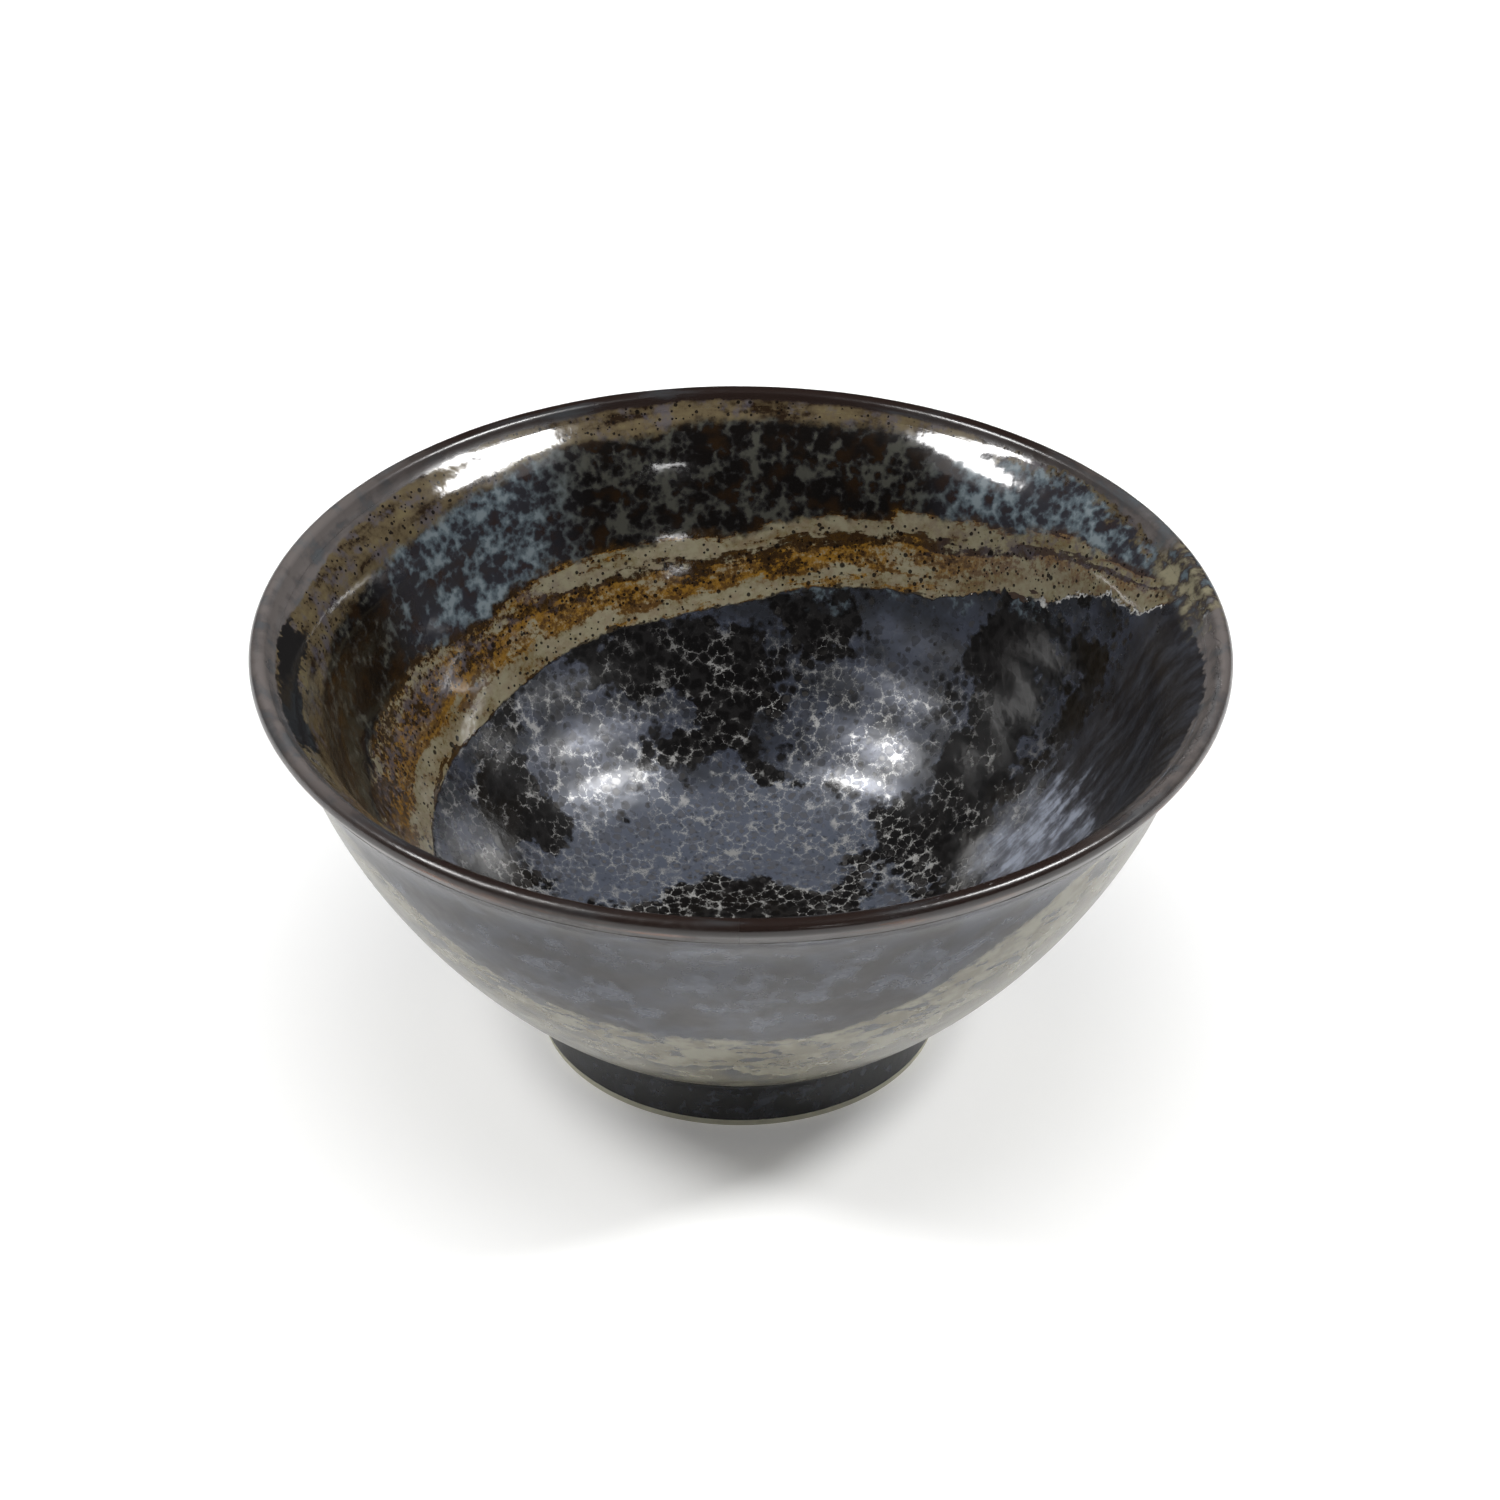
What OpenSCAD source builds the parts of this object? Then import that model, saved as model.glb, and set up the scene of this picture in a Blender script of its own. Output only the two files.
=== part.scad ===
// Matcha bowl with a flared lip, a straight foot ring and brushed swirl glazes.
// Origin: centre of the foot's base, on the table. +Z points up through the bowl.
// Every piece is turned about Z. The glaze areas are thin shells that lie face to face on the
// clay, and tilted planes split them where one glaze meets the next.

/* [Bowl] */
// Outer radius at the widest line of the lip
rim_r = 65; // [60:0.5:70]
// Height of the widest line of the lip above the table
rim_h = 60.3; // [56:0.1:66]
// Outward lean of the wall just under the lip, from vertical, in degrees
lip_lean = 32; // [26:1:36]
// Radius of the narrower waist under the flared lip
waist_r = 58.9; // [57:0.1:60]
// Height of the waist
waist_h = 49.6; // [47:0.1:52]
// Upward slope of the wall at the waist, in degrees
waist_slope = 72; // [68:1:76]
// Upward slope of the underside where it leaves the foot, in degrees
belly_slope = 33.5; // [30:0.5:38]

/* [Wall] */
// Thickness at the lip, glaze included
lip_wall = 2.6; // [2.2:0.1:3.2]
// Thickness low in the belly, glaze included
belly_wall = 5.4; // [4.4:0.1:6.4]
// Height of the floor's centre inside the bowl
floor_h = 11.3; // [10.6:0.1:12.5]
// Depth of the throwing rings inside
ring_depth = 0.12; // [0:0.01:0.3]
// Number of throwing rings up the inner wall
ring_count = 6; // [3:1:8]

/* [Foot] */
// Radius of the foot at the crease under the body, glaze included
foot_top_r = 27.2; // [26:0.1:28]
// Radius of the foot where its glaze ends
foot_base_r = 27.5; // [27:0.1:28.5]
// Height of the crease between foot and body
foot_h = 7; // [6:0.1:8]
// Inner radius of the foot ring, bare clay
foot_in_r = 22.6; // [21:0.1:23.5]
// Height of the bare band at the foot's base
bare_h = 1.2; // [0.9:0.1:1.6]
// Chamfer on both edges of the foot's base
foot_chamfer = 0.4; // [0.3:0.1:0.8]
// Rise of the clay in the middle of the foot's recess
well_rise = 0.8; // [0:0.1:1.2]
// How far the glaze pooled in the crease reaches along the foot and the body
crease_pool = 1.4; // [0.8:0.1:2]

/* [Glaze] */
// Thickness of the glaze coat
glaze_t = 0.5; // [0.3:0.05:0.7]
// How far up each side the lip's own glaze begins: 1 is the waist and 2 the lip
lip_glaze_u = 1.8; // [1.7:0.05:1.9]
// Height on the axis of the inner swirl's lower edge
swirl_low_h = 40.4; // [39:0.2:41]
// Slopes of that edge towards +X and +Y, in degrees
swirl_low_tilt = [14.6, -3.4]; // [-4:0.1:15]
// Height on the axis of the inner swirl's upper edge
swirl_high_h = 47.8; // [47:0.2:49]
// Slopes of that edge towards +X and +Y, in degrees
swirl_high_tilt = [10, -2.3]; // [-3:0.1:11]
// Height on the axis of the lower edge of the swirl beside the lip
rim_swirl_h = 56.5; // [56:0.1:57]
// Slopes of that edge towards +X and +Y, in degrees
rim_swirl_tilt = [4, 2]; // [1:0.1:5]
// Height on the axis of the dark front patch's lower edge, outside
front_patch_h = 121; // [118:1:124]
// Slopes of that edge towards +X and +Y, in degrees
front_patch_tilt = [4, 59.5]; // [0:0.5:60]
// Where the outer swirl gives way to the dark back, measured along +Y
back_edge_y = 6; // [2:1:12]

/* [Hidden] */
$fn = 96;

lip_r = lip_wall / 2;
lip_centre = [rim_r - lip_r, rim_h];
waist = [waist_r, waist_h];
crease = [foot_top_r, foot_h];
// Where along the belly the inner wall turns into the rounded floor
floor_u = 0.3;
// Steps along each stretch of the outline
belly_steps = 22;
inner_steps = 36;
lip_steps = 3;
floor_steps = 12;
pool_steps = 5;
// The lip's roundness runs over the widest line and the top to the inner wall, in degrees
lip_angles = [-lip_lean, 0, 90, 180 - lip_lean];
lip_arc_steps = [3, 7, 5];
// Larger than the bowl, for the cutting planes
far = 400;

clay_grey = [0.80, 0.78, 0.72];
iron_black = [0.09, 0.09, 0.10];
slate = [0.33, 0.34, 0.37];
blue_grey = [0.20, 0.25, 0.31];
olive_tan = [0.50, 0.44, 0.30];
pale_tan = [0.62, 0.59, 0.49];
rust_brown = [0.26, 0.17, 0.12];

function dir(a) = [cos(a), sin(a)];
function unit(v) = v / norm(v);
function left_of(v) = [-v.y, v.x];
function smooth(x) = x * x * (3 - 2 * x);

function bezier(p, t) =
    pow(1 - t, 3) * p[0] + 3 * t * pow(1 - t, 2) * p[1] + 3 * t * t * (1 - t) * p[2]
    + pow(t, 3) * p[3];
function bezier_dir(p, t) =
    unit(pow(1 - t, 2) * (p[1] - p[0]) + 2 * t * (1 - t) * (p[2] - p[1]) + t * t * (p[3] - p[2]));

// The outer wall: the belly from the crease to the waist, then the flare up to the lip.
lip_start = lip_centre + lip_r * dir(-lip_lean);
belly = [crease, crease + 14 * dir(belly_slope), waist - 18 * dir(waist_slope), waist];
flare = [waist, waist + 7 * dir(waist_slope), lip_start - 4 * dir(90 - lip_lean), lip_start];

// u runs from 0 at the crease through 1 at the waist to 2 at the lip.
function wall_pt(u) = u <= 1 ? bezier(belly, u) : bezier(flare, u - 1);
function wall_dir(u) = u <= 1 ? bezier_dir(belly, u) : bezier_dir(flare, u - 1);
function wall_t(u) = lip_wall + (belly_wall - lip_wall) * smooth(1 - u / 2);
function ring(w) = ring_depth * sin(360 * ring_count * w) * sin(180 * w);

// A point of the wall's outside or inside, depth millimetres below the glazed surface.
function outer_pt(u, depth) = wall_pt(u) + depth * left_of(wall_dir(u));
function inner_pt(u, depth) =
    wall_pt(u)
    + (wall_t(u) - ring((u - floor_u) / (2 - floor_u)) - depth) * left_of(wall_dir(u));

// The floor runs on from the inner wall to the axis, where it is level.
floor_start = inner_pt(floor_u, 0);
floor_curve = [floor_start, floor_start - 12 * wall_dir(floor_u), [15, floor_h], [0, floor_h]];
function floor_pt(t, depth) =
    bezier(floor_curve, t) + depth * left_of(bezier_dir(floor_curve, t));

function steps(n) = [for (i = [0 : n]) i / n];
function outer_line(u0, u1, n, depth) = [for (s = steps(n)) outer_pt(u0 + (u1 - u0) * s, depth)];
function inner_line(u0, u1, n, depth) = [for (s = steps(n)) inner_pt(u0 + (u1 - u0) * s, depth)];
function floor_line(depth) = [for (s = steps(floor_steps)) floor_pt(s, depth)];
function lip_arc(depth) =
    [for (i = [0 : 2]) for (s = steps(lip_arc_steps[i]))
        lip_centre + (lip_r - depth) * dir(lip_angles[i] * (1 - s) + lip_angles[i + 1] * s)];
function reversed(list) = [for (i = [len(list) - 1 : -1 : 0]) list[i]];
function joined(lists) = [for (list = lists) each list];

// Sweeps a closed outline in the radius and height plane around the axis.
module turned(lists) {
    rotate_extrude() polygon(joined(lists));
}

// Everything below a plane that crosses the axis at height h and rises by the given slopes.
module below_plane(h, tilt) {
    translate([0, 0, h]) rotate([tilt.y, -tilt.x, 0]) translate([-far / 2, -far / 2, -far])
        cube([far, far, far]);
}

module behind(y) {
    translate([-far / 2, y, -far / 2]) cube([far, far, far]);
}

// The glaze coat inside, from the lip's own glaze down to the middle of the floor.
module inner_coat() {
    turned([
        inner_line(lip_glaze_u, floor_u, inner_steps, 0),
        floor_line(0),
        reversed(floor_line(glaze_t)),
        inner_line(floor_u, lip_glaze_u, inner_steps, glaze_t)
    ]);
}

// The glaze coat outside, from the crease up to the lip's own glaze.
module outer_coat() {
    turned([
        [[foot_top_r - glaze_t, foot_h]],
        outer_line(0, lip_glaze_u, belly_steps, 0),
        outer_line(lip_glaze_u, 0, belly_steps, glaze_t)
    ]);
}

module front_patch_zone() {
    difference() {
        translate([-far / 2, -far, 0]) cube([far, far, far]);
        below_plane(front_patch_h, front_patch_tilt);
    }
}

module clay_body() {
    color(clay_grey) turned([
        [[0, foot_h + well_rise], [foot_in_r, foot_h], [foot_top_r - glaze_t, foot_h]],
        outer_line(0, lip_glaze_u, belly_steps, glaze_t),
        outer_line(lip_glaze_u, 2, lip_steps, glaze_t),
        lip_arc(glaze_t),
        inner_line(2, lip_glaze_u, lip_steps, glaze_t),
        inner_line(lip_glaze_u, floor_u, inner_steps, glaze_t),
        floor_line(glaze_t)
    ]);
}

module foot_ring() {
    color(clay_grey) turned([[
        [foot_in_r + foot_chamfer, 0],
        [foot_base_r - foot_chamfer, 0],
        [foot_base_r, foot_chamfer],
        [foot_base_r, bare_h],
        [foot_base_r - glaze_t, bare_h],
        [foot_top_r - glaze_t, foot_h],
        [foot_in_r, foot_h],
        [foot_in_r, foot_chamfer]
    ]]);
}

module lip_glaze() {
    color(rust_brown) turned([
        outer_line(lip_glaze_u, 2, lip_steps, 0),
        lip_arc(0),
        inner_line(2, lip_glaze_u, lip_steps, 0),
        inner_line(lip_glaze_u, 2, lip_steps, glaze_t),
        reversed(lip_arc(glaze_t)),
        outer_line(2, lip_glaze_u, lip_steps, glaze_t)
    ]);
}

module inner_rim_swirl() {
    color(olive_tan) difference() {
        inner_coat();
        below_plane(rim_swirl_h, rim_swirl_tilt);
    }
}

module inner_upper_glaze() {
    color(blue_grey) difference() {
        intersection() {
            inner_coat();
            below_plane(rim_swirl_h, rim_swirl_tilt);
        }
        below_plane(swirl_high_h, swirl_high_tilt);
    }
}

module inner_swirl() {
    color(olive_tan) difference() {
        intersection() {
            inner_coat();
            below_plane(swirl_high_h, swirl_high_tilt);
        }
        below_plane(swirl_low_h, swirl_low_tilt);
    }
}

module inner_floor_glaze() {
    color(iron_black) intersection() {
        inner_coat();
        below_plane(swirl_low_h, swirl_low_tilt);
    }
}

module outer_front_glaze() {
    color(slate) intersection() {
        outer_coat();
        front_patch_zone();
    }
}

module outer_swirl() {
    color(pale_tan) difference() {
        outer_coat();
        front_patch_zone();
        behind(back_edge_y);
    }
}

module outer_back_glaze() {
    color(slate) intersection() {
        outer_coat();
        behind(back_edge_y);
    }
}

// The glaze on the foot, with the rounded pool that it leaves in the crease under the body.
module foot_glaze() {
    pool_foot = crease + crease_pool * unit([foot_base_r, bare_h] - crease);
    pool_body = crease + crease_pool * unit(outer_pt(lip_glaze_u / belly_steps, 0) - crease);
    color(iron_black) turned([
        [[foot_base_r - glaze_t, bare_h], [foot_base_r, bare_h]],
        [for (s = steps(pool_steps))
            pow(1 - s, 2) * pool_foot + 2 * s * (1 - s) * crease + s * s * pool_body],
        [crease, [foot_top_r - glaze_t, foot_h]]
    ]);
}

module foot_well_glaze() {
    color(iron_black) turned([[
        [foot_in_r, foot_chamfer + bare_h],
        [foot_in_r, foot_h],
        [0, foot_h + well_rise],
        [0, foot_h + well_rise - glaze_t],
        [foot_in_r - glaze_t, foot_h - glaze_t],
        [foot_in_r - glaze_t, foot_chamfer + bare_h]
    ]]);
}

clay_body();
foot_ring();
lip_glaze();
inner_rim_swirl();
inner_upper_glaze();
inner_swirl();
inner_floor_glaze();
outer_front_glaze();
outer_swirl();
outer_back_glaze();
foot_glaze();
foot_well_glaze();
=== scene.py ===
import bmesh
import bpy
import numpy as np
from math import cos, radians, sin, tan
from mathutils import Matrix, Vector


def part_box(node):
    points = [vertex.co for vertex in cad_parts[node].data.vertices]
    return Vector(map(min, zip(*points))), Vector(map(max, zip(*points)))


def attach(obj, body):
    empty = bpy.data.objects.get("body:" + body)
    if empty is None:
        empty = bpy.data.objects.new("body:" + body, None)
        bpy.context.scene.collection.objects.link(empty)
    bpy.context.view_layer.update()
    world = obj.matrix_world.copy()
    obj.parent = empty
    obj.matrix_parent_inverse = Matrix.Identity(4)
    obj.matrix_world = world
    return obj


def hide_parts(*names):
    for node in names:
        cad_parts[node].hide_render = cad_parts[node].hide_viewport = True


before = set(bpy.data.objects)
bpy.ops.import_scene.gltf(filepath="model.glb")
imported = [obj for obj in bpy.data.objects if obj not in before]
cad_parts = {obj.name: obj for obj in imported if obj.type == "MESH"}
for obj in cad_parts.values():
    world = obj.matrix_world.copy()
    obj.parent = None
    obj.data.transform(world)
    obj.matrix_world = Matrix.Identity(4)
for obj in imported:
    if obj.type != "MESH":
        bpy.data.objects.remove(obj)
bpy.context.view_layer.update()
scene = bpy.context.scene
mm = 0.001
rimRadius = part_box("lip_glaze")[1].x / mm
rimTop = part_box("lip_glaze")[1].z / mm
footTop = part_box("foot_glaze")[0].z / mm  # where the glaze on the foot ends
print("frame loaded:", len(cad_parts), "nodes")

cameraSetup = {
    "lens": 120.0,          # mm, on a 36 mm square sensor
    "distance": 661.6,      # mm from the middle of the rim
    "targetHeight": 60.4,   # mm above the table
    "elevation": 33.40,     # degrees
    "panRight": 0.11,
    "tiltUp": -1.26,
    "roll": 0.34,
}


def setUpCamera(setup):
    rise = radians(setup["elevation"])
    back = Vector((0, -cos(rise), sin(rise)))
    place = Vector((0, 0, setup["targetHeight"] * mm)) + back * setup["distance"] * mm
    right = Vector((1, 0, 0))
    up = right.cross(-back)
    ahead = (tan(radians(setup["panRight"])) * right + tan(radians(setup["tiltUp"])) * up
             - back).normalized()
    right = (right - ahead * right.dot(ahead)).normalized()
    up = right.cross(ahead)
    roll = radians(setup["roll"])
    side = cos(roll) * right + sin(roll) * up
    top = cos(roll) * up - sin(roll) * right
    data = bpy.data.cameras.new("camera")
    data.lens = setup["lens"]
    data.sensor_width = 36.0
    data.clip_start = 0.01
    data.clip_end = 50.0
    camera = bpy.data.objects.new("camera", data)
    turn = Matrix((side, top, -ahead)).transposed().to_4x4()
    camera.matrix_world = Matrix.Translation(place) @ turn
    scene.collection.objects.link(camera)
    scene.camera = camera


setUpCamera(cameraSetup)

bowlForm = {
    # the outline of the wall: lengths in mm, places as (radius, height), slopes in degrees
    "lipLean": 32.0,
    "lipWall": 2.6,
    "bellyWall": 5.4,
    "waist": (58.9, 49.6),
    "waistSlope": 72.0,
    "bellySlope": 33.5,
    "crease": (27.2, 7.0),
    "floorHeight": 11.3,
    "floorFrom": 0.3,       # how far up the belly the inner wall turns into the floor
    "lipGlazeFrom": 1.8,    # 1 is the waist and 2 the lip
    "coat": 0.45,
}


def heading(angle):
    return np.array([cos(radians(angle)), sin(radians(angle))])


def bezier(points, t):
    a, b, c, d = points
    return (1 - t) ** 3 * a + 3 * t * (1 - t) ** 2 * b + 3 * t * t * (1 - t) * c + t ** 3 * d


def bezierWay(points, t):
    a, b, c, d = points
    way = (1 - t) ** 2 * (b - a) + 2 * t * (1 - t) * (c - b) + t * t * (d - c)
    return way / np.linalg.norm(way)


def leftOf(way):
    return np.array([-way[1], way[0]])


lipRadius = bowlForm["lipWall"] / 2
lipCentre = np.array([rimRadius - lipRadius, rimTop - lipRadius])
lipStart = lipCentre + lipRadius * heading(-bowlForm["lipLean"])
crease = np.array(bowlForm["crease"])
waist = np.array(bowlForm["waist"])
waistWay = heading(bowlForm["waistSlope"])
bellyCurve = [crease, crease + 14 * heading(bowlForm["bellySlope"]), waist - 18 * waistWay, waist]
flareCurve = [waist, waist + 7 * waistWay,
              lipStart - 4 * heading(90 - bowlForm["lipLean"]), lipStart]


def outerPoint(u, depth=0.0):
    curve, t = (bellyCurve, u) if u <= 1 else (flareCurve, u - 1)
    return bezier(curve, t) + depth * leftOf(bezierWay(curve, t))


def innerPoint(u, depth=0.0):
    share = 1 - u / 2
    smooth = share * share * (3 - 2 * share)
    wall = bowlForm["lipWall"] + (bowlForm["bellyWall"] - bowlForm["lipWall"]) * smooth
    return outerPoint(u, wall - depth)


floorFrom = bowlForm["floorFrom"]
floorStart = innerPoint(floorFrom)
floorLevel = bowlForm["floorHeight"]
floorCurve = [floorStart, floorStart - 12 * bezierWay(bellyCurve, floorFrom),
              np.array([15.0, floorLevel]), np.array([0.0, floorLevel])]


def floorPoint(t, depth=0.0):
    return bezier(floorCurve, t) + depth * leftOf(bezierWay(floorCurve, t))


def lipPoint(angle, depth=0.0):
    return lipCentre + (lipRadius - depth) * heading(angle)


def line(point, a, b, count, depth=0.0):
    return [point(t, depth) for t in np.linspace(a, b, count)]


def lineLength(points):
    return float(np.linalg.norm(np.diff(np.array(points), axis=0), axis=1).sum())


def colourOf(red, green, blue):
    # screen colour, 0 to 255, to the linear colour that shaders take
    def channel(value):
        value /= 255
        return value / 12.92 if value <= 0.04045 else ((value + 0.055) / 1.055) ** 2.4
    return (channel(red), channel(green), channel(blue), 1.0)


class NodeBench:
    # wires geometry and shader nodes with short names
    def __init__(self, tree):
        self.tree = tree

    def add(self, kind, inputs=None, **settings):
        node = self.tree.nodes.new(kind)
        for name, value in settings.items():
            setattr(node, name, value)
        for key, value in (inputs or {}).items():
            self.feed(node.inputs[key], value)
        return node

    def feed(self, socket, value):
        if isinstance(value, bpy.types.NodeSocket):
            self.tree.links.new(value, socket)
        elif value is not None:
            socket.default_value = value

    def math(self, operation, a, b=None):
        return self.add("ShaderNodeMath", {0: a, 1: b}, operation=operation).outputs[0]

    def chain(self, operation, first, *others):
        for other in others:
            first = self.math(operation, first, other)
        return first

    def plus(self, *values):
        return self.chain("ADD", *values)

    def minus(self, a, b):
        return self.math("SUBTRACT", a, b)

    def times(self, *values):
        return self.chain("MULTIPLY", *values)

    def strongest(self, *values):
        return self.chain("MAXIMUM", *values)

    def swing(self, value, amount):
        # a value that lies round 0.5, brought round 0 and made larger or smaller
        return self.times(self.minus(value, 0.5), amount)

    def parts(self, vector):
        return self.add("ShaderNodeSeparateXYZ", {0: vector}).outputs

    def vector(self, operation, a, b=None, scale=None):
        node = self.add("ShaderNodeVectorMath", {0: a}, operation=operation)
        if b is not None:
            self.feed(node.inputs[1], b)
        if scale is not None:
            self.feed(node.inputs["Scale"], scale)
        return node.outputs["Value" if operation in ("LENGTH", "DISTANCE") else "Vector"]

    def rise(self, value, low, high):
        # 0 below low, 1 above high, smooth between
        node = self.add("ShaderNodeMapRange", {"Value": value, "From Min": low, "From Max": high},
                        interpolation_type="SMOOTHSTEP")
        return node.outputs[0]

    def fall(self, value, low, high):
        node = self.add("ShaderNodeMapRange", {"Value": value, "From Min": low, "From Max": high,
                                               "To Min": 1.0, "To Max": 0.0},
                        interpolation_type="SMOOTHSTEP")
        return node.outputs[0]

    def blend(self, share, a, b):
        node = self.add("ShaderNodeMix", data_type="FLOAT")
        for socket, value in zip((node.inputs[0], node.inputs[2], node.inputs[3]), (share, a, b)):
            self.feed(socket, value)
        return node.outputs[0]

    def tint(self, share, a, b):
        node = self.add("ShaderNodeMix", data_type="RGBA")
        for socket, value in zip((node.inputs[0], node.inputs[6], node.inputs[7]), (share, a, b)):
            self.feed(socket, value)
        return node.outputs[2]

    def noise(self, place, size, detail=2.0, roughness=0.5, warp=0.0):
        node = self.add("ShaderNodeTexNoise", {"Vector": place, "Scale": 1 / size,
                                               "Detail": detail, "Roughness": roughness,
                                               "Distortion": warp})
        return node.outputs[0]

    def noiseShift(self, place, size, amount, detail=2.0):
        # place moved about by up to amount
        node = self.add("ShaderNodeTexNoise", {"Vector": place, "Scale": 1 / size,
                                               "Detail": detail})
        centred = self.vector("SUBTRACT", node.outputs["Color"], (0.5, 0.5, 0.5))
        return self.vector("ADD", place, self.vector("SCALE", centred, scale=2 * amount))

    def cells(self, place, size, feature="F1"):
        return self.add("ShaderNodeTexVoronoi", {"Vector": place, "Scale": 1 / size},
                        feature=feature)

    def stations(self, value, points):
        # a smooth curve through given points, each between 0 and 1 both ways
        node = self.add("ShaderNodeFloatCurve", {"Value": value})
        curve = node.mapping.curves[0]
        curve.points[0].location = points[0]
        curve.points[1].location = points[-1]
        for x, y in points[1:-1]:
            curve.points.new(x, y)
        node.mapping.update()
        return node.outputs[0]


wheelSettings = {
    # what the wheel takes for every piece, in metres
    "Segments": 560,
    "Ring Depth": 0.0,
    "Ring Pitch": 8 * mm,
    "Ring Start": 3 * mm,
    "Glaze Ripple": 0.08 * mm,
    "Ripple Size": 7 * mm,
}


def turnedTree():
    # one tree sweeps a profile round the axis
    tree = bpy.data.node_groups.new("turnedOnTheWheel", "GeometryNodeTree")
    face = tree.interface
    face.new_socket("Geometry", in_out="INPUT", socket_type="NodeSocketGeometry")
    for name, value in wheelSettings.items():
        kind = "NodeSocketInt" if isinstance(value, int) else "NodeSocketFloat"
        face.new_socket(name, in_out="INPUT", socket_type=kind).default_value = value
    face.new_socket("Glaze", in_out="INPUT", socket_type="NodeSocketMaterial")
    face.new_socket("Geometry", in_out="OUTPUT", socket_type="NodeSocketGeometry")
    b = NodeBench(tree)
    given = b.add("NodeGroupInput").outputs
    profile = given["Geometry"]
    rows = b.add("GeometryNodeAttributeDomainSize", {0: profile}).outputs["Point Count"]
    grid = b.add("GeometryNodeMeshGrid", {"Vertices X": b.plus(given["Segments"], 1),
                                          "Vertices Y": rows}).outputs["Mesh"]
    index = b.add("GeometryNodeInputIndex").outputs[0]
    row = b.math("FLOORED_MODULO", index, rows)
    column = b.math("FLOOR", b.math("DIVIDE", b.plus(index, 0.5), rows))
    angle = b.times(b.math("DIVIDE", column, given["Segments"]), 2 * np.pi)

    def fromProfile(kind, field):
        node = b.add("GeometryNodeSampleIndex", {0: profile}, data_type=kind, domain="POINT")
        b.feed(node.inputs["Value"], field)
        b.feed(node.inputs["Index"], row)
        return node.outputs[0]

    def turned(vector):
        return b.add("ShaderNodeVectorRotate", {"Vector": vector, "Angle": angle},
                     rotation_type="Z_AXIS").outputs[0]

    def named(kind, name):
        return b.add("GeometryNodeInputNamedAttribute", {"Name": name}, data_type=kind).outputs[0]

    def stored(geometry, kind, name, value):
        node = b.add("GeometryNodeStoreNamedAttribute", {"Geometry": geometry, "Name": name},
                     data_type=kind, domain="POINT")
        b.feed(node.inputs["Value"], value)
        return node.outputs[0]

    position = b.add("GeometryNodeInputPosition").outputs[0]
    shape = stored(grid, "FLOAT", "reach", fromProfile("FLOAT", named("FLOAT", "reach")))
    lift = turned(fromProfile("FLOAT_VECTOR", named("FLOAT_VECTOR", "lift")))
    shape = stored(shape, "FLOAT_VECTOR", "lift", lift)
    shape = b.add("GeometryNodeSetPosition", {
        "Geometry": shape, "Position": turned(fromProfile("FLOAT_VECTOR", position))}).outputs[0]
    shape = b.add("GeometryNodeMergeByDistance", {"Geometry": shape,
                                                  "Distance": 0.001 * mm}).outputs[0]
    # throwing rings wind down as one spiral, and the glaze over them is never quite even
    parts = b.parts(position)
    around = b.math("ARCTAN2", parts["Y"], parts["X"])
    reach = named("FLOAT", "reach")
    phase = b.plus(b.times(b.math("DIVIDE", reach, given["Ring Pitch"]), 2 * np.pi), around)
    start = given["Ring Start"]
    grown = b.rise(reach, start, b.times(start, 3))
    rings = b.times(b.math("SINE", phase), given["Ring Depth"], grown)
    wave = b.add("ShaderNodeTexNoise", {
        "Vector": position, "Scale": b.math("DIVIDE", 1.0, given["Ripple Size"]),
        "Detail": 2.0}).outputs[0]
    ripple = b.times(b.minus(wave, 0.85), given["Glaze Ripple"])  # sinks in, so sizes stay true
    push = b.vector("SCALE", named("FLOAT_VECTOR", "lift"), scale=b.plus(rings, ripple))
    shape = b.add("GeometryNodeSetPosition", {"Geometry": shape, "Offset": push}).outputs[0]
    shape = b.add("GeometryNodeRemoveAttribute", {"Geometry": shape, "Name": "lift"}).outputs[0]
    shape = b.add("GeometryNodeSetShadeSmooth", {"Geometry": shape}).outputs[0]
    shape = b.add("GeometryNodeRealizeInstances", {"Geometry": shape}).outputs[0]
    shape = b.add("GeometryNodeSetMaterial", {"Geometry": shape,
                                              "Material": given["Glaze"]}).outputs[0]
    b.add("NodeGroupOutput", {0: shape})
    return tree


wheelTree = turnedTree()
wheelInputs = {item.name: item.identifier for item in wheelTree.interface.items_tree
               if item.in_out == "INPUT"}
seam = 0.02  # mm, the last step of a shown line, which keeps its shading true up to the edge


def profileOf(name, shown, hidden, startReach):
    # shown is the line that is seen, in order, and hidden the way back through the wall
    shown = [shown[0], shown[0] + (shown[1] - shown[0]) * seam / lineLength(shown[:2]),
             *shown[1:-1],
             shown[-1] + (shown[-2] - shown[-1]) * seam / lineLength(shown[-2:]), shown[-1]]
    points = np.array([*shown, *hidden])
    steps = np.linalg.norm(np.diff(np.array(shown), axis=0), axis=1)
    reach = startReach + np.concatenate([[0.0], np.cumsum(steps)])
    reach = np.concatenate([reach, np.full(len(hidden), reach[-1])]) * mm
    way = np.gradient(np.array(shown), axis=0)
    way /= np.linalg.norm(way, axis=1, keepdims=True)
    lift = np.zeros((len(points), 3))
    lift[:len(shown), 0] = way[:, 1]
    lift[:len(shown), 2] = -way[:, 0]
    places = np.zeros((len(points), 3))
    places[:, 0] = points[:, 0] * mm
    places[:, 2] = points[:, 1] * mm
    mesh = bpy.data.meshes.new(name)
    mesh.from_pydata(places.tolist(), [(i, i + 1) for i in range(len(points) - 1)], [])
    mesh.attributes.new("reach", "FLOAT", "POINT").data.foreach_set("value", reach)
    mesh.attributes.new("lift", "FLOAT_VECTOR", "POINT").data.foreach_set("vector", lift.ravel())
    return mesh


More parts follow.
